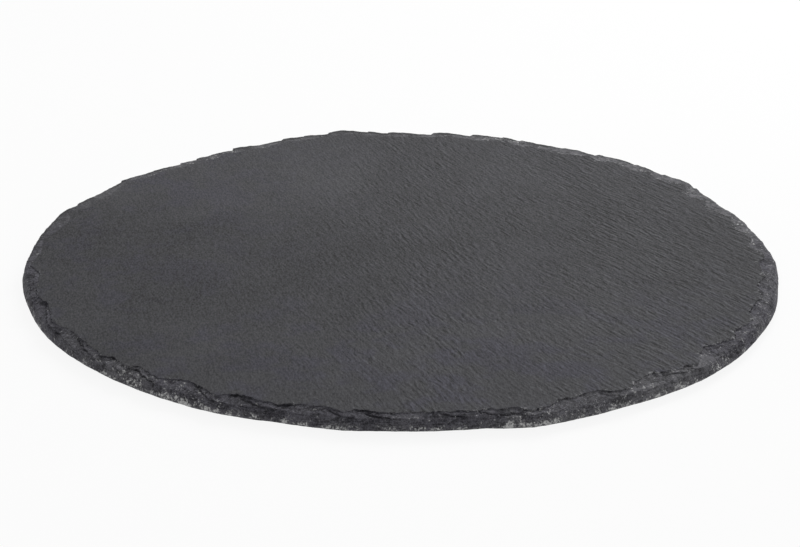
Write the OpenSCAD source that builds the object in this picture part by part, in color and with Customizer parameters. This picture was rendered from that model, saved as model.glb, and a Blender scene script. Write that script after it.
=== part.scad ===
// Round slate serving board with a hand-chipped rim, standing on four stick-on feet.
// The origin is on the table under the middle of the board, +Z is up and the front is towards -Y.

/* [Slate plate] */
// Diameter of the circle that the chipped outline follows
board_d = 300; // [200:5:350]
// Thickness of the slate
plate_t = 6; // [5:0.5:9]

/* [Chipped rim] */
// Height of the steep break at the inner edge of each flake scar
step_h = 0.4; // [0.2:0.1:0.8]
// How far that break leans outwards on its way down
step_run = 0.2; // [0.1:0.1:0.6]
// Width of the scar's ledge at the corners between flakes
ledge_w = 1.8; // [0.2:0.1:3]
// How far the ledge falls at the corners between flakes
ledge_fall = 0.3; // [0.2:0.1:0.6]
// How far the broken outer face leans outwards at the corners between flakes
face_lean = 0.9; // [0.4:0.1:1.5]
// Share of a scar's bite that its outer face takes up, the rest being ledge
face_share = 0.2; // [0.1:0.05:0.5]
// Height of the crushed lip along the bottom edge
lip_h = 0.8; // [0.4:0.1:1]
// How far the crushed lip is cut back at the underside
lip_run = 0.5; // [0.2:0.1:1]

/* [Feet] */
// Diameter of a foot
foot_d = 12; // [8:0.5:20]
// Height of a foot
foot_h = 2.5; // [1.5:0.1:4]
// Radius of the rounded edge under a foot
foot_round = 0.8; // [0.3:0.1:1.2]
// Distance from the board's circle in to a foot's centre
foot_inset = 40; // [25:1:60]

/* [Adhesive discs] */
// Thickness of the adhesive disc between a foot and the slate
adhesive_t = 0.3; // [0.2:0.1:0.6]
// How far a foot reaches past its adhesive disc all round
adhesive_margin = 0.3; // [0.1:0.1:1]

/* [Hidden] */

SLATE_GREY = [0.30, 0.30, 0.31];
FOOT_BLACK = [0.06, 0.06, 0.065];
ADHESIVE_WHITE = [0.82, 0.82, 0.78];

// Heights of the slate's two faces above the table
base_z = foot_h + adhesive_t;
top_z = base_z + plate_t;

// The flakes struck off the rim, going round from +X towards +Y. Each row gives the angle where the flake
// starts, how far its corner stands out from the board's circle, how far its scar bites into the top face,
// how much further the scar's ledge falls there than at its corners, and the share of the way along the
// flake at which the scar is deepest.
flakes = [
    [0, -0.5, 3.5, 0.3, 0.5],
    [8, -2.5, 3.5, 0.3, 0.4],
    [17, -3, 4, 0.4, 0.6],
    [26, -3.5, 5, 0.3, 0.4],
    [34, 0.5, 4, 0.2, 0.6],
    [42, -1, 3.5, 0.2, 0.4],
    [49, 0.5, 4, 0.1, 0.6],
    [55, -0.5, 4, 0.1, 0.4],
    [66, -1, 3.5, 0.1, 0.4],
    [72, 1.5, 4, 0.1, 0.4],
    [83, 1.5, 3, 0.2, 0.5],
    [88, 0, 2, 0, 0.5],
    [94, 0.5, 1.5, 0, 0.3],
    [98, 3.5, 1, 0, 0.6],
    [101, 6, 1, 0.2, 0.4],
    [104, 2.5, 2, 0.2, 0.5],
    [112, 1, 3, 0.6, 0.6],
    [119, -1.5, 2, 0, 0.4],
    [124, -1.5, 3, 0.6, 0.7],
    [129, -3.5, 2, 0.5, 0.5],
    [138, -3.5, 2, 0.4, 0.5],
    [146, -1, 4, 0.6, 0.6],
    [157, -1.5, 4, 0, 0.5],
    [162, 0.5, 4, 0.2, 0.4],
    [176, 0.5, 2.5, 0.3, 0.5],
    [186, 1.5, 4, 1.3, 0.3],
    [198, 1, 3, 1.3, 0.35],
    [209, 2, 3, 1.3, 0.3],
    [223, 1.5, 2, 0.8, 0.25],
    [228, 1.5, 3.5, 1.3, 0.2],
    [234, 1.5, 5, 1.5, 0.4],
    [244, 2, 3.5, 1.3, 0.2],
    [253, 0.5, 4, 1.5, 0.65],
    [262, 1.5, 3, 1, 0.25],
    [268, 0.5, 1.5, 1, 0.45],
    [281, 0.5, 2.5, 1.3, 0.7],
    [287, 3.5, 4.5, 1.3, 0.6],
    [302, 1.5, 5, 1.5, 0.35],
    [315, 2, 7, 1.5, 0.5],
    [326, 1, 3.5, 1, 0.3],
    [333, 0, 3.5, 1, 0.55],
    [342, -0.5, 3.5, 0.8, 0.5],
    [351, -1.5, 3.5, 0.3, 0.5]
];

// How fast a scar runs out on either side of its deepest place
scar_power = 1.3;

// Steps along each flake, and the columns of points that this gives round the rim
flake_steps = 8;
columns = len(flakes) * flake_steps;

// Points down one column of the rim, and how far the raw block stands past the slate's two faces
rows = 5;
raw_over = 0.5;

// Angle and reach of a corner between two flakes, counting on past the last one
function corner_angle(k) = flakes[k % len(flakes)][0] + (k < len(flakes) ? 0 : 360);
function corner_reach(k) = board_d / 2 + flakes[k % len(flakes)][1];

// The outline at one share of the way along a flake, on an arc from corner to corner
function raw_outline(k, share) =
    let (
        angle = corner_angle(k) * (1 - share) + corner_angle(k + 1) * share,
        reach = corner_reach(k) * (1 - share) + corner_reach(k + 1) * share
    )
    reach * [cos(angle), sin(angle)];

// Middle of the outline's extents, which lies over the origin once the outline is shifted
raw_outlines = [
    for (k = [0 : len(flakes) - 1], step = [0 : flake_steps - 1])
        raw_outline(k, step / flake_steps)
];
outline_xs = [for (point = raw_outlines) point.x];
outline_ys = [for (point = raw_outlines) point.y];
outline_middle = [max(outline_xs) + min(outline_xs), max(outline_ys) + min(outline_ys)] / 2;

// A point on the outline, moved in towards the middle and lifted
function rim_point(outline, inset, z) =
    let (inner = outline * (1 - inset / norm(outline)))
    [inner.x, inner.y, z];

// How deep a scar is at one share of the way along its flake, from 0 at its corners to 1
function scar_depth(share, deepest) =
    let (away = share < deepest ? (deepest - share) / deepest : (share - deepest) / (1 - deepest))
    1 - pow(away, scar_power);

// The rim's section at one share of the way along a flake, from the top face down to the underside.
// Its first and last points carry the slope on past the slate's faces, which are then sliced flat.
function rim_column(k, share) =
    let (
        outline = raw_outline(k, share) - outline_middle,
        depth = scar_depth(share, flakes[k][4]),
        bite = flakes[k][2] * depth,
        face_in = face_lean + face_share * bite,
        ledge_in = face_lean + ledge_w + bite,
        ledge_z = top_z - step_h,
        ledge_out_z = ledge_z - ledge_fall - flakes[k][3] * depth
    )
    [
        rim_point(outline, ledge_in + step_run * (step_h + raw_over) / step_h, top_z + raw_over),
        rim_point(outline, ledge_in, ledge_z),
        rim_point(outline, face_in, ledge_out_z),
        rim_point(outline, 0, base_z + lip_h),
        rim_point(outline, lip_run * (lip_h + raw_over) / lip_h, base_z - raw_over)
    ];

rim_points = [
    for (k = [0 : len(flakes) - 1], step = [0 : flake_steps - 1])
        each rim_column(k, step / flake_steps)
];
middle_points = [[0, 0, top_z + raw_over], [0, 0, base_z - raw_over]];

// Number of a rim point, counting the columns round and each column's rows down
function rim_index(column, row) = (column % columns) * rows + row;

top_middle = columns * rows;
bottom_middle = top_middle + 1;

rim_faces = [
    for (column = [0 : columns - 1], row = [0 : rows - 2])
        each [
            [rim_index(column, row), rim_index(column + 1, row), rim_index(column + 1, row + 1)],
            [rim_index(column, row), rim_index(column + 1, row + 1), rim_index(column, row + 1)]
        ]
];
top_faces = [
    for (column = [0 : columns - 1])
        [top_middle, rim_index(column + 1, 0), rim_index(column, 0)]
];
bottom_faces = [
    for (column = [0 : columns - 1])
        [bottom_middle, rim_index(column, rows - 1), rim_index(column + 1, rows - 1)]
];

// The split slab that the board is struck from, wider than the board itself
module slab() {
    translate([0, 0, base_z])
        cylinder(h = plate_t, r = board_d);
}

module slate_plate() {
    color(SLATE_GREY)
        intersection() {
            polyhedron(
                points = concat(rim_points, middle_points),
                faces = concat(rim_faces, top_faces, bottom_faces)
            );
            slab();
        }
}

// Feet and adhesive discs share four places, on a circle inside the rim
foot_reach = (board_d / 2 - foot_inset) * cos(45);
FRONT_LEFT = [-foot_reach, -foot_reach, 0];
FRONT_RIGHT = [foot_reach, -foot_reach, 0];
BACK_LEFT = [-foot_reach, foot_reach, 0];
BACK_RIGHT = [foot_reach, foot_reach, 0];

// Half of a foot's section: flat on the table, with a rounded lower edge and a flat top
module foot_section() {
    foot_r = foot_d / 2;
    square([foot_r - foot_round, foot_h]);
    translate([0, foot_round])
        square([foot_r, foot_h - foot_round]);
    translate([foot_r - foot_round, foot_round])
        circle(r = foot_round, $fn = 48);
}

module foot(place) {
    color(FOOT_BLACK)
        translate(place)
            rotate_extrude($fn = 96)
                foot_section();
}

module adhesive(place) {
    color(ADHESIVE_WHITE)
        translate([place.x, place.y, foot_h])
            cylinder(h = adhesive_t, d = foot_d - 2 * adhesive_margin, $fn = 96);
}

slate_plate();
foot(FRONT_LEFT);  // foot_front_left
foot(FRONT_RIGHT);  // foot_front_right
foot(BACK_LEFT);  // foot_back_left
foot(BACK_RIGHT);  // foot_back_right
adhesive(FRONT_LEFT);  // adhesive_front_left
adhesive(FRONT_RIGHT);  // adhesive_front_right
adhesive(BACK_LEFT);  // adhesive_back_left
adhesive(BACK_RIGHT);  // adhesive_back_right
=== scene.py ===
import math
from collections import namedtuple

import bpy
import numpy as np
from mathutils import Matrix, Vector, noise
from mathutils.bvhtree import BVHTree
from mathutils.geometry import delaunay_2d_cdt


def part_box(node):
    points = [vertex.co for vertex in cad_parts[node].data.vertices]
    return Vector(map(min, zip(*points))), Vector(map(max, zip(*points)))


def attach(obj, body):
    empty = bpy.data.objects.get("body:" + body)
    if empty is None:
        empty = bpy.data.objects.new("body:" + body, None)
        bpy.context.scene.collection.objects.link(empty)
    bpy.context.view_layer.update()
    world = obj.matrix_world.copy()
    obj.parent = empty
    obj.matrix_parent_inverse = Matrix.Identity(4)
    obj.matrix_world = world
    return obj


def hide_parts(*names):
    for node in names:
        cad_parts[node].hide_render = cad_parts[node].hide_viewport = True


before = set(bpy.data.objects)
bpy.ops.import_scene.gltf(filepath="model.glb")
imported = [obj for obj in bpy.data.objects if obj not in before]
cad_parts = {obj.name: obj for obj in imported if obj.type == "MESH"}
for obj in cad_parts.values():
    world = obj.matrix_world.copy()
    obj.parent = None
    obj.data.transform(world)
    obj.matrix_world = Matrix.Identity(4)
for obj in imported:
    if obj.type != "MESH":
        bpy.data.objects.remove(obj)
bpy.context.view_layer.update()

# A round slate serving board: one plate of split slate with a chipped rim, four rubber feet and their
# adhesive discs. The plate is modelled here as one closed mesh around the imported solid's rim.
# Lengths are in millimetres unless a name or comment says otherwise.

MM = 0.001

# Camera, fitted to the board's rim in a picture of 800 by 547 pixels
SENSOR_WIDTH_MM = 36
LENS_MM = 108
EYE_MM = (-0.8, -893.0, 366.3)
CAMERA_ELEVATION_DEG = 22.34
CAMERA_ROLL_DEG = 0.33
CLIP_M = (0.01, 100)

# Soft boxes that face the board: name, place in metres, side in metres and power in watts
LAMPS = (
    ("key", (0.4, 0.5, 0.8), 0.7, 6.5),
    ("front_fill", (-0.5, -1.3, 1.3), 1.0, 2),
)

# The surround's strength, half the floor's side in metres, and the share of white in the floor as seen
SURROUND_STRENGTH = 0.42
FLOOR_REACH_M = 20.0
FLOOR_WHITE_SHARE = 0.9

# The plate's extents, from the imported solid
PLATE_LOW, PLATE_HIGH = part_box("slate_plate")
BASE_Z = PLATE_LOW.z / MM
TOP_Z = PLATE_HIGH.z / MM
BOARD_R = PLATE_HIGH.x / MM
FEET = ("foot_front_left", "foot_front_right", "foot_back_left", "foot_back_right")
ADHESIVES = ("adhesive_front_left", "adhesive_front_right", "adhesive_back_left", "adhesive_back_right")

# The solid's rim is measured at this many heights, from just under the top face to just over the underside
PROFILE_LEVELS = 61
PROFILE_MARGIN = 0.01

# The chipped rim: columns round it, then rows down its break, its slope and its lower lip
RIM_COLUMNS = 2400
BREAK_ROWS, SLOPE_ROWS, LIP_ROWS = 5, 23, 3
RIM_ROWS = BREAK_ROWS + SLOPE_ROWS + LIP_ROWS

# Height of the steep break under the top face, and the least upward tilt of the ledge below it
BREAK_H = 0.4
LEDGE_TILT = 0.6

# Teeth along the edge of the top face: their spacing, and the share of it over which a tooth rises
TOOTH_SPACING = 11
TOOTH_RISE = 0.8

# The ledge along the back: how far it runs in past the solid's, the share of its fall that is filled up, and
# between which falls that runs out
BACK_LEDGE = 3.4
BACK_FILL = 0.7
FILL_FROM, FILL_TO = 0.6, 2.5

# Chips knocked out of the back's outline: where each starts and ends, in degrees from +X, and how deep it is
BACK_CHIPS = (
    (31, 35, 1.0), (39, 43, 1.2), (45.5, 49, 1.0), (53.5, 57, 2.4), (60, 68, 1.0),
    (68.5, 71.5, 1.4), (72, 75, 1.4), (77.5, 82, 2.6), (84.5, 90, 2.8), (92.5, 95, 1.2),
    (96, 98.5, 1.3), (103, 106, 1.7), (107.5, 110, 0.8), (111.5, 119, 2.2), (121.5, 128, 2.6),
    (129.5, 133, 2.0), (133, 138, 1.3), (139, 143, 0.7), (146, 156, 1.5), (159, 164, 0.6),
)

# The share of a chip over which it reaches its depth, and how fast it then runs out
CHIP_START, CHIP_POWER = 0.08, 0.8

# The painted shade at the brink of the back's ledge: how far in and down from its corner it goes
BRINK_IN, BRINK_DOWN = 2.4, 0.4

# The notch under the top edge: how far in and down it goes, and how soon it runs out
NOTCH_IN, NOTCH_DROP = 0.6, 0.7
NOTCH_REACH, NOTCH_FADE = 0.45, 2.5

# The cracks along the front, which run down from the top edge: where each starts and ends, as for the chips
FRONT_CRACKS = (
    (200, 213), (215, 223), (228, 235), (240.5, 245), (247, 253.5), (259.5, 264), (264.5, 269),
    (275, 279), (280, 283),
)

# Cracks that run aslant down the rest of the rim: their spacing along it
CRACK_SPACING = 24

# How deep the cracks are, and how soon they run out above and below
CRACK_DEPTH = 0.7
CRACK_REACH, CRACK_FADE = 0.25, 1.6

# How dark the painted shade in the hollow below a notch or crack is, next to the crack itself
SHADE = 0.4

# How far a rim point stands out from its neighbours at full relief
FULL_RELIEF = 0.12

# The split faces: grid spacing along and across the grain on top, and both ways on the underside
TOP_STEP_ALONG, TOP_STEP_ACROSS = 4.5, 1.5
UNDER_STEP = 4.0

# How far in from the rim the grid starts, and how far in the pale flecks are thicker
EDGE_CLEAR = 0.7
EDGE_REACH = 14.0

# Radius of the flat places under the plate where the feet are stuck on, and how far round them the relief
# then takes to rise
FOOT_CLEAR, FOOT_FADE = 7.0, 6.0

# The grain's direction at the left, middle and right of the board, in degrees from +X
GRAIN_DEG = (-74, -69, -57)
GRAIN_PLACE = (-100, 0, 100)

# Relief of the split faces: the height and size of slow waves, and the height, length and width of swells
# and ripples along the grain
WAVE_H, WAVE_SIZE = 0.12, 70
SWELL_H, SWELL_ALONG, SWELL_ACROSS = 0.07, 40, 7.0
RIPPLE_H, RIPPLE_ALONG, RIPPLE_ACROSS = 0.06, 14, 2.2

# Edges where the plate's faces meet at more than this are sharp
SHARP_DEG = 38

# Roughness of the materials' noise, and how much it is distorted where it is drawn out
NOISE_ROUGHNESS = 0.6
STRETCHED_DISTORTION = 0.4

# Facets of broken stone are flatter than they are wide
FACET_SQUASH = 1.6

# The lower lip with its crumbs, in heights above the underside: whole up to the first, gone by the second
LIP_WHOLE, LIP_GONE = 1.0, 3.2

# Colours in linear light, where a pair goes from the darkest tone to the palest
SPLIT_GREYS = (0.012, 0.0120, 0.0129), (0.1002, 0.1002, 0.1080)
SPLIT_BLUES = (0.012, 0.0118, 0.0145), (0.0980, 0.0965, 0.118)
# The rim's greys: painted shade along the front, painted light along the back where the key falls
SHADED_FRONT_RIM_GREYS = (0.0195, 0.019, 0.0225), (0.113, 0.110, 0.128)
LIT_BACK_RIM_GREYS = (0.055, 0.0545, 0.058), (0.180, 0.179, 0.189)
FLECK_GREY = (0.20, 0.20, 0.21)
# Painted shade in the notch under the top edge, in the cracks and in the hollows below them
NOTCH_AND_CRACK_SHADE_BLACK = (0.012, 0.012, 0.015)
# Painted shade at the brink of the back's ledge
BRINK_SHADE_BLACK = (0.020, 0.020, 0.021)
# Pale dashes on the top edge: crushed stone, with painted highlight
CREST_CRUSH_AND_HIGHLIGHT_GREY = (0.28, 0.28, 0.29)
DUST_GREY = (0.18, 0.18, 0.183)
CRUMB_WHITE = (0.55, 0.55, 0.55)
RUBBER_BLACKS = (0.010, 0.010, 0.011), (0.022, 0.022, 0.022)
FOAM_WHITES = (0.50, 0.50, 0.45), (0.66, 0.66, 0.60)
FLOOR_GREY = (0.9, 0.9, 0.9)
WHITE = (1, 1, 1)

# The solid's rim at one angle: each row's depth along it, radius, height and outward normal, and the depths
# of the foot of its break, the brink of its ledge and its widest place
Section = namedtuple("Section", "depths radii levels out up foot brink widest")

# How the chipped rim at one angle differs from the solid's, and how dark its painted shade is
Shape = namedtuple(
    "Shape", "angle back edge edge_end filled chip brink_in opened pocket crack_at crack_open"
)

# Marks on the plate's points: how broken the stone is, how much painted shade lies in and below its notch
# and cracks, how much painted shade lies at the brink of the back, how near the edge of the top face, how
# proud of its neighbours, and how near the rim
RIM_MARKS = ("broken", "notch_and_crack_shade", "brink_shade", "crest")
MARKS = (*RIM_MARKS, "relief", "edge")


def rim_noise(angle, depth, length, fall, layer=0.0):
    """Noise over the rim, about -1 to 1, with lumps of a length along it and a fall down it."""
    across = BOARD_R / length
    return noise.noise(Vector((across * math.cos(angle), across * math.sin(angle), depth / fall + layer)))


def smooth(low, high, x):
    """0 below low, 1 above high and a smooth rise between."""
    t = min(max((x - low) / (high - low), 0), 1)
    return t * t * (3 - 2 * t)


def step_down(past, rise, fade):
    """A sudden step down where past turns positive, which then runs out: 0 before it, at most 1."""
    return math.exp(-past / fade) if past > 0 else smooth(-rise, 0, past)


# The solid's rim

def solid_tree(node):
    """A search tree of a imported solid's faces."""
    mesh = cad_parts[node].data
    corners = [v.co.copy() for v in mesh.vertices]
    return BVHTree.FromPolygons(corners, [tuple(p.vertices) for p in mesh.polygons])


def solid_profiles():
    """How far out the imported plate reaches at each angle, from its top face down."""
    tree = solid_tree("slate_plate")
    heights = np.linspace(TOP_Z - PROFILE_MARGIN, BASE_Z + PROFILE_MARGIN, PROFILE_LEVELS)
    far = 2 * BOARD_R
    reach = np.zeros((RIM_COLUMNS, PROFILE_LEVELS))
    for column in range(RIM_COLUMNS):
        angle = math.tau * column / RIM_COLUMNS
        outward = Vector((math.cos(angle), math.sin(angle), 0))
        for level, height in enumerate(heights):
            start = outward * far * MM + Vector((0, 0, height * MM))
            hit = tree.ray_cast(start, -outward)
            reach[column, level] = hit[0].xy.length / MM
    return heights, reach


def rim_section(heights, reach):
    """Rows down the solid's rim at one angle."""
    lengths = np.concatenate(([0], np.cumsum(np.hypot(np.diff(reach), np.diff(heights)))))
    foot = np.interp(BREAK_H, TOP_Z - heights, lengths)
    widest = lengths[np.argmax(reach)]
    depths = np.concatenate((
        np.linspace(0, foot, BREAK_ROWS, endpoint=False),
        np.linspace(foot, widest, SLOPE_ROWS, endpoint=False),
        np.linspace(widest, lengths[-1], LIP_ROWS),
    ))
    radii = np.interp(depths, lengths, reach)
    levels = np.interp(depths, lengths, heights)
    dr, dz = np.gradient(radii), np.gradient(levels)
    size = np.hypot(dr, dz)
    out, up = -dz / size, dr / size
    brink = depths[BREAK_ROWS:][np.argmax(up[BREAK_ROWS:] < LEDGE_TILT)]
    return Section(depths, radii, levels, out, up, foot, brink, widest)


# The chipped rim

def back_share(angle):
    """How far a place belongs to the back of the board, 0 to 1."""
    return smooth(-0.35, 0.35, math.sin(angle))


def front_share(angle):
    """How far a place belongs to the front, whose broken face is seen, 0 to 1."""
    return 1 - smooth(-0.3, -0.05, math.sin(angle) + 0.15 * max(0, math.cos(angle)))


def left_tip_share(angle):
    """How far a place belongs to the left tip of the board, 0 to 1."""
    return smooth(-0.35, -0.1, math.sin(angle)) * smooth(0.8, 0.95, -math.cos(angle))


def scars(angle, depth, length, fall, layer):
    """Hollow scars, from about -0.4 in their middles to sharp ridges of about 0.6 between them."""
    across = BOARD_R / length
    bend = 0.35 * rim_noise(angle, depth, 3 * length, 3 * fall, layer + 5)
    place = Vector((across * math.cos(angle), across * math.sin(angle), depth / fall + bend + layer))
    nearest = noise.voronoi(place)[0][0]
    return nearest * nearest - 0.4


def rough_break(angle, depth):
    """Scars, lumps and grit of the broken stone."""
    large = 0.55 * scars(angle, depth, 9, 4, 31)
    small = 0.3 * scars(angle, depth, 3.5, 1.8, 41)
    return large + small + 0.08 * rim_noise(angle, depth, 1.1, 0.8, 47)


def ragged_edge(angle):
    """How far the top face's edge stands out or back: smooth on the left, in teeth and chips elsewhere."""
    turn = angle * BOARD_R / TOOTH_SPACING + 0.9 * rim_noise(angle, 0, 16, 1, 11)
    share = turn - math.floor(turn)
    tooth = share / TOOTH_RISE if share < TOOTH_RISE else (1 - share) / (1 - TOOTH_RISE)
    teeth = 1.8 * (tooth - 0.5) * max(0, rim_noise(angle, 0, 35, 1, 17) + 0.3)
    chips = 1.3 * rim_noise(angle, 0, 6, 1, 21) + 1.0 * (0.4 - abs(rim_noise(angle, 0, 3, 1, 23)))
    crumbs = 0.6 * rim_noise(angle, 0, 1.7, 1, 25) + 0.4 * rim_noise(angle, 0, 0.9, 1, 27)
    return (0.35 + 0.9 * smooth(-0.6, 0.4, math.cos(angle))) * (teeth + chips) + crumbs


def edge_shift(angle, section):
    """How far the top face's edge lies out or in from the solid's: well in along the back."""
    back = back_share(angle)
    wide = max(back, smooth(0.8, 1, math.cos(angle)))
    middle = smooth(0.5, 0.95, math.sin(angle))
    shift = ragged_edge(angle) * (1 - 0.85 * back) - BACK_LEDGE * wide * (0.6 + 0.4 * middle)
    return min(shift, 0.6 * (section.radii.max() - section.radii[0]))


def back_chips(angle):
    """How far the chips along the back bite into the outline: sudden where they start, then running out."""
    degrees = math.degrees(angle)
    bite = 0.3 * (rim_noise(angle, 0, 3, 1, 75) + 0.5)
    for start, end, depth in BACK_CHIPS:
        share = (degrees - start) / (end - start)
        if 0 < share < 1:
            bite += depth * min(share / CHIP_START, 1) * (1 - share) ** CHIP_POWER
    return bite


def notch(angle, turning_in):
    """How open the notch under the top edge is: long stretches on the left, short ones on the right.

    It closes where the edge turns in sharply towards the next scar."""
    short = smooth(-0.5, 0.6, math.cos(angle))
    long_stretch = 0.1 + rim_noise(angle, 0, 11, 1, 51)
    short_stretch = 0.7 * rim_noise(angle, 0, 10, 1, 52) + 0.7 * rim_noise(angle, 0, 4, 1, 53)
    stretch = long_stretch + (short_stretch - long_stretch) * short
    ragged = 0.7 + 0.5 * rim_noise(angle, 0, 4, 1, 54) + 0.5 * rim_noise(angle, 0, 1.5, 1, 55)
    return smooth(0, 0.3, stretch) * ragged * (1 - smooth(0.2, 0.6, turning_in))


def aslant_crack(angle):
    """How far down the rim a crack lies, as a share of the way, and how open it is."""
    wander = 0.08 * rim_noise(angle, 0, 3, 1, 65) + 0.05 * rim_noise(angle, 0, 1, 1, 67)
    degrees = math.degrees(angle)
    for start, end in FRONT_CRACKS:
        share = (degrees - start) / (end - start)
        if 0 < share < 1:
            return 0.45 * share + 0.7 * wander, smooth(0, 0.2, share) * (1 - smooth(0.9, 1, share))
    if FRONT_CRACKS[0][0] < degrees < FRONT_CRACKS[-1][1]:
        return 0, 0
    turn = angle * BOARD_R / CRACK_SPACING + 0.8 * rim_noise(angle, 0, 20, 1, 61)
    share = turn - math.floor(turn)
    opened = smooth(0, 0.15, share) * (1 - smooth(0.7, 1, share))
    opened *= smooth(-0.1, 0.3, rim_noise(angle, 0, 15, 1, 63) + 0.4 * rim_noise(angle, 0, 3, 1, 64))
    return 0.05 + 0.65 * share + wander, opened


def rim_shape(angle, section, turning_in):
    """How the chipped rim at one angle differs from the solid's: its edge, ledge, chips, notch and cracks.

    The notch narrows where a crack has left the edge, and both are less open towards the right."""
    rightward, backward = math.cos(angle), math.sin(angle)
    back, front = back_share(angle), front_share(angle)
    slope = section.widest - section.foot
    crack_share, crack_open = aslant_crack(angle)
    opened = notch(angle, turning_in) * front * (1 - 0.55 * smooth(-0.3, 0.5, rightward))
    return Shape(
        angle=angle,
        back=back,
        edge=edge_shift(angle, section),
        edge_end=section.foot + slope * (1 - 0.55 * back),
        filled=BACK_FILL * max(back, left_tip_share(angle)),
        chip=back * back_chips(angle),
        # How far in from the ledge's brink the painted shade reaches
        brink_in=BRINK_IN * max(0.55 - 0.25 * rightward, backward) ** 2,
        opened=opened * (1 - 0.65 * crack_open * smooth(0.06, 0.2, crack_share)),
        # How dark the painted shade in the hollow below the notch is
        pocket=SHADE + 0.6 * rim_noise(angle, 0, 9, 1, 57),
        crack_at=section.foot + crack_share * slope,
        crack_open=crack_open * (0.15 + 0.85 * front) * (1 - 0.4 * smooth(0.1, 0.5, rightward)),
    )


def rim_point(section, shape, row):
    """One point of the chipped rim, and its marks in the order of RIM_MARKS."""
    angle, depth = shape.angle, section.depths[row]
    inner = 1 - smooth(section.foot, shape.edge_end, depth)
    calm = (0.2 + 0.8 * smooth(0.3, 2.2, abs(section.widest - depth))) * (1 - 0.6 * shape.back)

    below_edge = depth - section.foot
    cut = shape.opened * math.exp(-(below_edge / NOTCH_REACH) ** 2)
    sunk = shape.opened * step_down(below_edge, section.foot, NOTCH_FADE)
    below_crack = depth - shape.crack_at
    split = shape.crack_open * calm * math.exp(-(below_crack / CRACK_REACH) ** 2)
    crack = shape.crack_open * calm * step_down(below_crack, CRACK_REACH, CRACK_FADE)

    push = smooth(0, 0.5, depth) * (calm * rough_break(angle, depth) - CRACK_DEPTH * crack)
    fall = TOP_Z - section.levels[row]
    fall *= 1 - shape.filled * (1 - smooth(FILL_FROM, FILL_TO, fall))
    level = TOP_Z - fall + push * section.up[row] - NOTCH_DROP * sunk
    radius = (
        section.radii[row] + shape.edge * inner - shape.chip * (1 - inner)
        + push * section.out[row] - NOTCH_IN * cut
    )
    point = (radius * math.cos(angle), radius * math.sin(angle), min(max(level, BASE_Z), TOP_Z))

    broken = smooth(0, 0.1 + 0.9 * shape.back, depth)
    # Painted shade: dark in the notch, along the cracks and in the hollows below them
    notch_and_crack_shade = max(cut, split, shape.pocket * sunk, SHADE * crack)
    past = depth - section.brink
    # Painted shade along the brink of the back's ledge
    at_brink = smooth(-shape.brink_in, -0.4 * shape.brink_in, past) * (1 - smooth(0, BRINK_DOWN, past))
    brink_shade = shape.back * at_brink
    crest = 1 - smooth(0.1, 0.8 + 0.8 * shape.back, depth)
    return point, (broken, notch_and_crack_shade, brink_shade, crest)


def rim_rows():
    """The rows of points down the chipped rim, from the top face down, and their marks by name."""
    heights, reach = solid_profiles()
    step = math.tau * BOARD_R / RIM_COLUMNS
    turning_in = -np.gradient(reach[:, 0]) / step
    rows = np.zeros((RIM_ROWS, RIM_COLUMNS, 3))
    marks = np.zeros((len(RIM_MARKS), RIM_ROWS, RIM_COLUMNS))
    for column in range(RIM_COLUMNS):
        angle = math.tau * column / RIM_COLUMNS
        section = rim_section(heights, reach[column])
        shape = rim_shape(angle, section, turning_in[column])
        for row in range(RIM_ROWS):
            rows[row, column], marks[:, row, column] = rim_point(section, shape, row)
    return rows, dict(zip(RIM_MARKS, marks))


def rim_relief(rows):
    """How much each rim point stands proud of its neighbours along and down the rim, -1 to 1."""
    around = (np.roll(rows, 1, axis=1) + np.roll(rows, -1, axis=1)) / 2
    beside = rows.copy()
    beside[1:-1] = (rows[:-2] + rows[2:]) / 2
    offset = rows - (around + beside) / 2
    along = np.roll(rows, -1, axis=1) - np.roll(rows, 1, axis=1)
    down = np.gradient(rows, axis=0)
    normal = np.cross(down, along)
    normal /= np.linalg.norm(normal, axis=2, keepdims=True) + 1e-9
    proud = (offset * normal).sum(axis=2)
    return np.clip(proud / FULL_RELIEF, -1, 1)


# The split faces

def grain_weights(x):
    """How much each of the three grain directions counts at one place across the board."""
    left, _, right = GRAIN_PLACE
    inside = min(max(x, left), right)
    return [max(0, 1 - abs(inside - place) / right) for place in GRAIN_PLACE]


def cleft_relief(x, y):
    """Height of the split face above its plane: slow waves, with swells and ripples along the grain."""
    height = WAVE_H * noise.noise(Vector((x / WAVE_SIZE, y / WAVE_SIZE, 3.1)))
    strength = 0.35 + 0.65 * smooth(-120, 60, x)
    for degrees, weight in zip(GRAIN_DEG, grain_weights(x)):
        if weight:
            c, s = math.cos(math.radians(degrees)), math.sin(math.radians(degrees))
            along, across = x * c + y * s, y * c - x * s
            ripple = noise.noise(Vector((along / RIPPLE_ALONG, across / RIPPLE_ACROSS, degrees)))
            swell = noise.noise(Vector((along / SWELL_ALONG, across / SWELL_ACROSS, degrees + 7)))
            height += weight * strength * (RIPPLE_H * ripple + SWELL_H * swell)
    return height


def foot_middles():
    """Where the feet stand under the plate."""
    return [(low + high).xy / 2 / MM for low, high in map(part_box, FEET)]


def under_relief(x, y, feet):
    """Height of the underside above its plane, flat where the feet are stuck on."""
    nearest = min((Vector((x, y)) - foot).length for foot in feet)
    return smooth(FOOT_CLEAR, FOOT_CLEAR + FOOT_FADE, nearest) * cleft_relief(-x, y)


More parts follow.
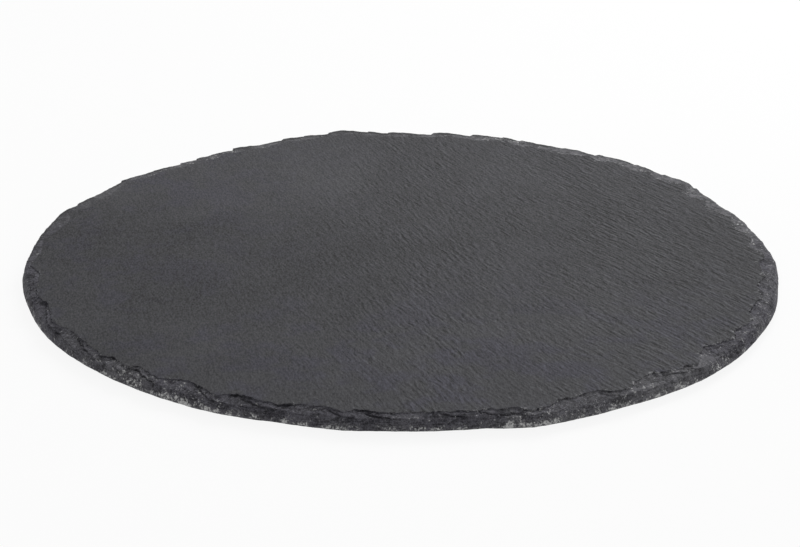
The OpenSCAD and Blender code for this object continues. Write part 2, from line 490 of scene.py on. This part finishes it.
def points_inside(loop, along, across, degrees):
    """A grid of points inside a loop round the origin, turned to the grain, and how far in they lie."""
    angles = np.unwrap(np.arctan2(loop[:, 1], loop[:, 0]))
    radii = np.hypot(loop[:, 0], loop[:, 1])
    reach = radii.max()
    us = np.arange(-reach, reach, along)
    vs = np.arange(-reach, reach, across)
    grid_u, grid_v = np.meshgrid(us, vs)
    grid_u[1::2] += along / 2
    c, s = math.cos(math.radians(degrees)), math.sin(math.radians(degrees))
    x = (grid_u * c - grid_v * s).ravel()
    y = (grid_u * s + grid_v * c).ravel()
    at = np.mod(np.arctan2(y, x) - angles[0], math.tau)
    inset = np.interp(at, angles - angles[0], radii, period=math.tau) - np.hypot(x, y)
    keep = inset > EDGE_CLEAR
    return np.column_stack((x[keep], y[keep])), inset[keep]


# The plate's mesh

def rim_faces():
    """Faces between each row of rim points and the next."""
    faces = []
    for row in range(RIM_ROWS - 1):
        for column in range(RIM_COLUMNS):
            here = row * RIM_COLUMNS + column
            after = row * RIM_COLUMNS + (column + 1) % RIM_COLUMNS
            faces.append((here, here + RIM_COLUMNS, after + RIM_COLUMNS, after))
    return faces


def filled_outline(loop, points, loop_start, points_start):
    """Triangles over a closed loop and the loose points inside it, numbered as in the mesh."""
    flat = [Vector(p[:2]) for p in loop] + [Vector(p) for p in points]
    numbers = [*range(loop_start, loop_start + len(loop)), *range(points_start, points_start + len(points))]
    edges = [(k, (k + 1) % len(loop)) for k in range(len(loop))]
    _, _, faces, origin, _, _ = delaunay_2d_cdt(flat, edges, [], 1, 1e-7)
    return [[numbers[origin[corner][0]] for corner in face] for face in faces]


def slate_mesh():
    """The whole plate as one closed mesh, with marks on its points."""
    rows, marks = rim_rows()
    marks["relief"] = rim_relief(rows)
    for point in rows[0]:
        point[2] += cleft_relief(point[0], point[1])
    top, top_inset = points_inside(rows[0], TOP_STEP_ALONG, TOP_STEP_ACROSS, GRAIN_DEG[1])
    under, under_inset = points_inside(rows[-1], UNDER_STEP, UNDER_STEP, GRAIN_DEG[1])
    feet = foot_middles()
    top_points = [(x, y, TOP_Z + cleft_relief(x, y)) for x, y in top]
    under_points = [(x, y, BASE_Z + under_relief(x, y, feet)) for x, y in under]

    rim_points = rows.reshape(-1, 3)
    top_start = len(rim_points)
    under_start = top_start + len(top_points)
    points = np.concatenate((rim_points, top_points, under_points)) * MM
    faces = rim_faces()
    faces += filled_outline(rows[0], top, 0, top_start)
    last_loop = (RIM_ROWS - 1) * RIM_COLUMNS
    faces += [face[::-1] for face in filled_outline(rows[-1], under, last_loop, under_start)]

    mesh = bpy.data.meshes.new("slate")
    mesh.from_pydata(points.tolist(), [], faces)
    mesh.validate()
    mesh.shade_smooth()
    mesh.set_sharp_from_angle(angle=math.radians(SHARP_DEG))

    insets = np.concatenate((top_inset, under_inset))
    values = {name: np.concatenate((mark.ravel(), np.zeros(len(insets)))) for name, mark in marks.items()}
    values["edge"] = np.concatenate((np.ones(top_start), np.clip(1 - insets / EDGE_REACH, 0, 1)))
    for name in MARKS:
        mesh.attributes.new(name, "FLOAT", "POINT").data.foreach_set("value", values[name])
    return mesh


# Materials

class Graph:
    """The nodes of one material or world. An input is either a socket to link or a plain value to set."""

    def __init__(self, owner):
        owner.use_nodes = True
        self.nodes = owner.node_tree.nodes
        self.link = owner.node_tree.links.new

    def feed(self, socket, source):
        """Links a socket to its source, or sets it to a number, a vector or a colour."""
        if isinstance(source, bpy.types.NodeSocket):
            self.link(source, socket)
        elif socket.type == "RGBA":
            socket.default_value = (*source, 1)
        else:
            socket.default_value = source

    def add(self, kind, inputs=None, **settings):
        """A new node, with its properties set and then its inputs, by name or number."""
        made = self.nodes.new(kind)
        for name, value in settings.items():
            setattr(made, name, value)
        for key, source in (inputs or {}).items():
            self.feed(made.inputs[key], source)
        return made

    def calc(self, operation, *sources, clamp=False):
        """One step of arithmetic."""
        made = self.add("ShaderNodeMath", dict(enumerate(sources)), operation=operation, use_clamp=clamp)
        return made.outputs[0]

    def product(self, first, *others):
        """The product of numbers."""
        for source in others:
            first = self.calc("MULTIPLY", first, source)
        return first

    def total(self, *terms, clamp=False):
        """The sum of numbers, each of them alone or in a pair with its weight."""
        result = 0.0
        for term in terms:
            source, weight = term if isinstance(term, tuple) else (term, 1.0)
            result = self.calc("MULTIPLY_ADD", source, weight, result)
        result.node.use_clamp = clamp
        return result

    def ramp(self, source, low, high, to_low=0.0, to_high=1.0):
        """A number mapped smoothly from one range to another."""
        inputs = {"Value": source, "From Min": low, "From Max": high, "To Min": to_low, "To Max": to_high}
        return self.add("ShaderNodeMapRange", inputs, interpolation_type="SMOOTHSTEP").outputs[0]

    def fade(self, coordinate, low_mm, high_mm, to_low=0.0, to_high=1.0):
        """A number that changes smoothly between two places along one axis of the board."""
        return self.ramp(coordinate, low_mm * MM, high_mm * MM, to_low, to_high)

    def mix(self, factor, first, second):
        """A mix of two numbers."""
        made = self.add("ShaderNodeMix", {"Factor": factor, 2: first, 3: second}, data_type="FLOAT")
        return made.outputs[0]

    def mix_colour(self, factor, first, second):
        """A mix of two colours."""
        made = self.add("ShaderNodeMix", {"Factor": factor, 6: first, 7: second}, data_type="RGBA")
        return made.outputs[2]

    def scaled(self, coordinates, sizes_mm, shift=0.0):
        """Coordinates counted in steps of a size along each axis, and shifted along the second."""
        inputs = {0: coordinates, 1: [1 / (size * MM) for size in sizes_mm], 2: (0, shift, 0)}
        return self.add("ShaderNodeVectorMath", inputs, operation="MULTIPLY_ADD").outputs[0]

    def bent(self, coordinates, size_mm, bend_mm):
        """Coordinates pushed about by noise."""
        inputs = {"Vector": coordinates, "Scale": 1 / (size_mm * MM), "Detail": 2.0}
        bend = self.add("ShaderNodeTexNoise", inputs).outputs["Color"]
        inputs = {0: bend, 1: [bend_mm * MM] * 3, 2: coordinates}
        return self.add("ShaderNodeVectorMath", inputs, operation="MULTIPLY_ADD").outputs[0]

    def noise(self, coordinates, scale, detail, distortion=0.0):
        """Noise, about 0 to 1."""
        inputs = {"Vector": coordinates, "Scale": scale, "Detail": detail}
        inputs |= {"Roughness": NOISE_ROUGHNESS, "Distortion": distortion}
        return self.add("ShaderNodeTexNoise", inputs).outputs[0]

    def plain_noise(self, coordinates, size_mm, detail):
        """Noise with no direction."""
        return self.noise(coordinates, 1 / (size_mm * MM), detail)

    def stretched_noise(self, coordinates, degrees, along_mm, across_mm, detail, shift=0.0):
        """Noise drawn out along one direction of the board and shifted across it."""
        turn = {"Vector": coordinates, "Angle": -math.radians(degrees)}
        turned = self.add("ShaderNodeVectorRotate", turn, rotation_type="Z_AXIS").outputs[0]
        steps = self.scaled(turned, (along_mm, across_mm, across_mm), shift)
        return self.noise(steps, 1.0, detail, STRETCHED_DISTORTION)

    def layers(self, coordinates, along_mm, thick_mm):
        """Thin wavy layers that lie flat in the stone."""
        wavy = self.bent(coordinates, along_mm, 1.5 * thick_mm)
        return self.noise(self.scaled(wavy, (along_mm, along_mm, thick_mm)), 1.0, 2.0)

    def facets(self, coordinates, size_mm, bend_mm):
        """Facets of broken stone with bent borders: a tone for each, 0 to 1, and the way to its middle."""
        inputs = {0: self.bent(coordinates, size_mm, bend_mm), 1: (1, 1, FACET_SQUASH)}
        flat = self.add("ShaderNodeVectorMath", inputs, operation="MULTIPLY").outputs[0]
        cells = self.add("ShaderNodeTexVoronoi", {"Vector": flat, "Scale": 1 / (size_mm * MM)})
        tone = self.add("ShaderNodeSeparateColor", {0: cells.outputs["Color"]})
        return tone.outputs[0], cells.outputs["Distance"]

    def streaks(self, coordinates, x, along_mm, across_mm, detail, shift=0.0):
        """Streaks along the grain, which turns from the left of the board to the right."""
        left, middle, right = [
            self.stretched_noise(coordinates, degrees, along_mm, across_mm, detail, shift)
            for degrees in GRAIN_DEG
        ]
        on_left = self.mix(self.fade(x, GRAIN_PLACE[0], 0), left, middle)
        on_right = self.mix(self.fade(x, 0, GRAIN_PLACE[2]), middle, right)
        return self.mix(self.calc("GREATER_THAN", x, 0.0), on_left, on_right)

    def object_place(self):
        """Where a point lies on its object, in metres."""
        return self.add("ShaderNodeTexCoord").outputs["Object"]

    def surface(self, colour, roughness, height, strength, depth_mm):
        """Gives the material's shader its colour, roughness and bumps, and returns it."""
        inputs = {"Height": height, "Strength": strength, "Distance": depth_mm * MM}
        normal = self.add("ShaderNodeBump", inputs).outputs[0]
        shader = self.nodes["Principled BSDF"]
        self.feed(shader.inputs["Base Color"], colour)
        self.feed(shader.inputs["Roughness"], roughness)
        self.feed(shader.inputs["Normal"], normal)
        return shader

    def shown_white(self, usual, white, share):
        """A share of a white shader over the usual one, for the rays that show the background.

        Those come straight from the camera, are mirrored or are seen through."""
        path = self.add("ShaderNodeLightPath")
        seen = path.outputs["Is Camera Ray"]
        for name in ("Is Glossy Ray", "Is Transmission Ray"):
            seen = self.calc("MAXIMUM", seen, path.outputs[name])
        inputs = {0: self.product(seen, share), 1: usual.outputs[0], 2: white.outputs[0]}
        return self.add("ShaderNodeMixShader", inputs).outputs[0]


# Slate. In its functions, at is a point on the board with its coordinates.

Place = namedtuple("Place", "point x y z")
Grain = namedtuple("Grain", "slopes streaks cracks mottle")


def split_grain(graph, at):
    """The split face's texture: slopes of ripples along the grain, their streaks, which paint each ripple's
    shading, fine cracks and mottle.
    """
    wavy = graph.bent(at.point, 7, 1.6)
    near_side, far_side = [graph.streaks(wavy, at.x, 7, 1.5, 1, shift) for shift in (0.3, -0.3)]
    # Painted shading: the difference across the grain paints each ripple pale on one side and dark on the
    # other, more strongly towards the right
    slopes = graph.calc("SUBTRACT", near_side, far_side)
    strength = graph.fade(at.x, -130, 90, 0.26, 1.35)
    patches = graph.ramp(graph.plain_noise(at.point, 12, 1), 0.3, 0.7, 0.7, 1.3)
    lines = graph.streaks(wavy, at.x, 12, 0.8, 0)
    mottle = graph.stretched_noise(at.point, 90, 1.5, 0.6, 0)
    return Grain(
        slopes=slopes,
        streaks=graph.product(slopes, strength, patches),
        cracks=graph.product(graph.ramp(lines, 0.68, 0.8), strength),
        mottle=graph.calc("SUBTRACT", mottle, 0.5),
    )


def split_tone(graph, at, grain):
    """How pale the split face is, 0 to 1: painted light makes it darker on the left and paler towards the
    back and front, and its streaks are the ripples' painted shading.
    """
    clouds = graph.plain_noise(at.point, 30, 2)
    # Painted light: these fades by place make the face darker on the left and paler towards the back and
    # front
    painted_light_left_back = graph.product(graph.fade(at.y, 10, 70, 0, 0.11), graph.fade(at.x, -30, 0, 1, 0))
    ends = graph.fade(graph.calc("ABSOLUTE", at.y), 20, 80, -0.015, 0.04)
    across = graph.fade(at.x, -150, 50, 0.185, 0.285)
    # The grain's streaks add the ripples' painted shading
    return graph.total(
        (grain.streaks, 1.1), (grain.mottle, 0.75), (grain.cracks, -0.2), (clouds, 0.32),
        painted_light_left_back, ends, across, clamp=True,
    )


def split_colour(graph, at, tone, edge):
    """Grey with bluish patches towards the front and the left, and pale flecks near the rim."""
    patches = graph.ramp(graph.plain_noise(at.point, 18, 2), 0.45, 0.62)
    front = graph.fade(at.y, -110, 0, 1.0, 0.1)
    left = graph.fade(at.x, -110, -10, 0.8, 0.1)
    tint = graph.product(patches, graph.calc("MAXIMUM", front, left))
    grey, blue = [graph.mix_colour(tone, *colours) for colours in (SPLIT_GREYS, SPLIT_BLUES)]
    colour = graph.mix_colour(tint, grey, blue)
    flecks = graph.total(graph.plain_noise(at.point, 0.8, 2), (edge, 0.12))
    return graph.mix_colour(graph.ramp(flecks, 0.74, 0.84, 0, 0.6), colour, FLECK_GREY)


def broken_stone(graph, at, relief):
    """The tone of the broken rim, 0 to 1, and the height of its bumps: facets, chips, grit and layers."""
    facet_tone, facet_way = graph.facets(at.point, 4.5, 3.5)
    chip_tone, chip_way = graph.facets(at.point, 1.1, 0.8)
    chips = graph.plain_noise(at.point, 0.9, 2)
    grit = graph.plain_noise(at.point, 0.45, 1)
    layers = graph.layers(at.point, 5, 0.5)
    # Relief paints proud points paler, part wear and part painted highlight, and hollows darker, as painted
    # shade
    tone = graph.total(
        (facet_tone, 0.25), (relief, 0.1), (chip_tone, 0.3), (chips, 0.75), (grit, 0.65), (layers, 0.9),
    )
    height = graph.total((chips, 0.7), (chip_way, 0.4), (grit, 0.5), (layers, 1.2), (facet_way, 0.8))
    return graph.ramp(tone, 1.0, 1.84), height


def rim_colour(graph, at, tone):
    """The broken rim's colour: painted shade makes it darkest along the front and at the tips, and painted
    light makes it paler right of its middle and along the back.
    """
    # Painted light and shade: the front's greys stand for the rim in shade, the back's for the rim lit by
    # the key, and the tips are painted darker
    front, back = [graph.mix_colour(tone, *colours) for colours in (SHADED_FRONT_RIM_GREYS, LIT_BACK_RIM_GREYS)]
    tip_shade = graph.total(graph.fade(at.x, 95, 115, 0, 0.65), graph.fade(at.x, -140, -100, 0.4, 0))
    tip_shade = graph.product(tip_shade, graph.fade(at.y, 0, 40, 1.0, 0.3))
    swings = graph.ramp(graph.plain_noise(at.point, 14, 1), 0.35, 0.65, -0.25, 0.2)
    paler = graph.total(
        graph.fade(at.y, -145, -110, 0, 0.35), graph.fade(at.y, -20, 100, 0, 0.55),
        graph.fade(at.x, 20, 50, 0, 0.5), (tip_shade, -1.0), swings,
    )
    paler = graph.calc("MINIMUM", graph.calc("MAXIMUM", paler, 0.0), 0.75)
    return graph.mix_colour(paler, front, back)


def with_rim(graph, at, colour, rim, marks):
    """A colour with the broken rim round it, painted shade in the rim's notch and cracks and the hollows
    below them, and painted shade at the brink along the back.
    """
    faint = graph.product(graph.fade(at.x, -100, 0, 0.45, 0), graph.fade(at.y, 0, 30))
    shown = graph.product(marks["broken"], graph.calc("SUBTRACT", 1.0, faint))
    colour = graph.mix_colour(shown, colour, rim)
    # Painted shade in the notch, the cracks and the hollows below them, with gaps
    gaps = graph.ramp(graph.plain_noise(at.point, 1.5, 2), 0.35, 0.6, 0.45, 0.8)
    notch_and_crack_shade = graph.calc("MULTIPLY", marks["notch_and_crack_shade"], gaps, clamp=True)
    colour = graph.mix_colour(notch_and_crack_shade, colour, NOTCH_AND_CRACK_SHADE_BLACK)
    # Painted shade at the brink along the back
    return graph.mix_colour(graph.product(marks["brink_shade"], 0.75), colour, BRINK_SHADE_BLACK)


def with_crest(graph, at, colour, crest):
    """A colour with pale dashes along the edge of the top face, most of them on the right: crushed stone
    with painted highlight.
    """
    dashes = graph.total(graph.plain_noise(at.point, 1.6, 4), graph.fade(at.x, -50, 100, -0.03, 0.06))
    return graph.mix_colour(graph.product(graph.ramp(dashes, 0.6, 0.72), crest), colour, CREST_CRUSH_AND_HIGHLIGHT_GREY)


def with_crumbs(graph, at, colour, broken):
    """A colour with clusters of dust and crumbs along the lower lip, and crumbs strewn over the rim."""
    clusters = graph.ramp(graph.plain_noise(at.point, 7, 3), 0.4, 0.56, 0.1, 1.0)
    clusters = graph.product(clusters, graph.fade(at.x, 105, 130, 1.0, 0.3))
    lip = graph.product(graph.fade(at.z, BASE_Z + LIP_WHOLE, BASE_Z + LIP_GONE, 1.0, 0.0), clusters)
    large, small = graph.plain_noise(at.point, 2.4, 2), graph.plain_noise(at.point, 0.7, 3)
    crumbs = graph.total((large, 0.45), (small, 0.55))
    dust = graph.product(lip, broken, graph.ramp(crumbs, 0.4, 0.6, 0.05, 0.55))
    colour = graph.mix_colour(dust, colour, DUST_GREY)
    strewn = graph.total(
        graph.product(graph.fade(at.x, -120, -100), graph.fade(at.x, -80, -50, 0.055, 0)),
        graph.product(graph.fade(at.x, 30, 40), graph.fade(at.x, 50, 60, 0.06, 0)),
        graph.fade(at.x, 50, 70, 0, 0.03),
    )
    crushed = graph.ramp(graph.total(crumbs, (lip, 0.11), strewn), 0.59, 0.74)
    return graph.mix_colour(graph.product(crushed, broken), colour, CRUMB_WHITE)


def slate_material():
    """Dark grey split slate: streaks along the grain, faint tints, a rough rim and a pale lower lip."""
    material = bpy.data.materials.new("slate")
    graph = Graph(material)
    point = graph.object_place()
    at = Place(point, *graph.add("ShaderNodeSeparateXYZ", {0: point}).outputs)
    marks = {name: graph.add("ShaderNodeAttribute", attribute_name=name).outputs["Fac"] for name in MARKS}
    grain = split_grain(graph, at)
    stone_tone, stone_height = broken_stone(graph, at, marks["relief"])
    colour = split_colour(graph, at, split_tone(graph, at, grain), marks["edge"])
    colour = with_rim(graph, at, colour, rim_colour(graph, at, stone_tone), marks)
    colour = with_crest(graph, at, colour, marks["crest"])
    colour = with_crumbs(graph, at, colour, marks["broken"])
    height = graph.total(
        (grain.mottle, 0.5), (grain.streaks, 1.0), (grain.cracks, -0.3), (stone_height, marks["broken"]),
    )
    roughness = graph.ramp(grain.slopes, -0.3, 0.3, 0.58, 0.74)
    shader = graph.surface(colour, roughness, height, strength=0.9, depth_mm=0.3)
    shader.inputs["Specular IOR Level"].default_value = 0.1
    return material


# Other materials

def rubber_material():
    """Black moulded rubber with a fine matt grain and a little dust."""
    material = bpy.data.materials.new("foot_rubber")
    graph = Graph(material)
    place = graph.object_place()
    grain = graph.plain_noise(place, 0.35, 3)
    dust = graph.ramp(graph.plain_noise(place, 4, 3), 0.35, 0.8)
    colour = graph.mix_colour(dust, *RUBBER_BLACKS)
    roughness = graph.ramp(grain, 0.3, 0.7, 0.55, 0.75)
    graph.surface(colour, roughness, grain, strength=0.5, depth_mm=0.08)
    return material


def adhesive_material():
    """Off-white adhesive foam with small cells."""
    material = bpy.data.materials.new("adhesive")
    graph = Graph(material)
    cells = graph.plain_noise(graph.object_place(), 0.25, 2)
    colour = graph.mix_colour(graph.ramp(cells, 0.3, 0.7), *FOAM_WHITES)
    graph.surface(colour, 0.7, cells, strength=0.4, depth_mm=0.05)
    return material


def floor_material():
    """A pale matt floor that goes on to white where it is seen unshaded."""
    material = bpy.data.materials.new("floor")
    graph = Graph(material)
    shader = graph.nodes["Principled BSDF"]
    graph.feed(shader.inputs["Base Color"], FLOOR_GREY)
    graph.feed(shader.inputs["Roughness"], 1.0)
    graph.feed(shader.inputs["Specular IOR Level"], 0.0)
    white = graph.add("ShaderNodeEmission", {"Color": WHITE, "Strength": 1.0})
    shown = graph.shown_white(shader, white, FLOOR_WHITE_SHARE)
    graph.link(shown, graph.nodes["Material Output"].inputs["Surface"])
    return material


# Scene

def make_slate():
    """The plate, in place of its solid."""
    piece = bpy.data.objects.new("slate", slate_mesh())
    bpy.context.scene.collection.objects.link(piece)
    piece.data.materials.append(slate_material())
    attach(piece, "root")
    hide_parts("slate_plate")


def dress(names, material):
    """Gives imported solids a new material."""
    for name in names:
        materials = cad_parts[name].data.materials
        materials.clear()
        materials.append(material)


def make_floor():
    """A square floor that the board stands on."""
    reach = FLOOR_REACH_M
    mesh = bpy.data.meshes.new("floor")
    corners = [(-reach, -reach, 0), (reach, -reach, 0), (reach, reach, 0), (-reach, reach, 0)]
    mesh.from_pydata(corners, [], [(0, 1, 2, 3)])
    floor = bpy.data.objects.new("floor", mesh)
    bpy.context.scene.collection.objects.link(floor)
    mesh.materials.append(floor_material())


def make_camera():
    """The camera, which looks down at the board from the front."""
    camera = bpy.data.cameras.new("camera")
    camera.sensor_width = SENSOR_WIDTH_MM
    camera.lens = LENS_MM
    camera.clip_start, camera.clip_end = CLIP_M
    holder = bpy.data.objects.new("camera", camera)
    tilt = Matrix.Rotation(math.radians(90 - CAMERA_ELEVATION_DEG), 4, "X")
    roll = Matrix.Rotation(math.radians(CAMERA_ROLL_DEG), 4, "Z")
    holder.matrix_world = Matrix.Translation(Vector(EYE_MM) * MM) @ tilt @ roll
    bpy.context.scene.collection.objects.link(holder)
    bpy.context.scene.camera = holder


def make_lamp(name, place, size, power):
    """A square soft box that faces the board."""
    light = bpy.data.lights.new(name, "AREA")
    light.size = size
    light.energy = power
    lamp = bpy.data.objects.new(name, light)
    lamp.location = place
    lamp.rotation_euler = (-Vector(place)).to_track_quat("-Z", "Y").to_euler()
    bpy.context.scene.collection.objects.link(lamp)


def make_world():
    """A soft even surround that shows as white."""
    world = bpy.data.worlds.new("surround")
    bpy.context.scene.world = world
    graph = Graph(world)
    even = graph.nodes["Background"]
    graph.feed(even.inputs["Color"], WHITE)
    graph.feed(even.inputs["Strength"], SURROUND_STRENGTH)
    white = graph.add("ShaderNodeBackground", {"Color": WHITE, "Strength": 1.0})
    graph.link(graph.shown_white(even, white, 1.0), graph.nodes["World Output"].inputs["Surface"])


make_camera()
make_slate()
dress(FEET, rubber_material())
dress(ADHESIVES, adhesive_material())
make_floor()
make_world()
for lamp in LAMPS:
    make_lamp(*lamp)
bpy.context.scene.view_settings.view_transform = "Standard"
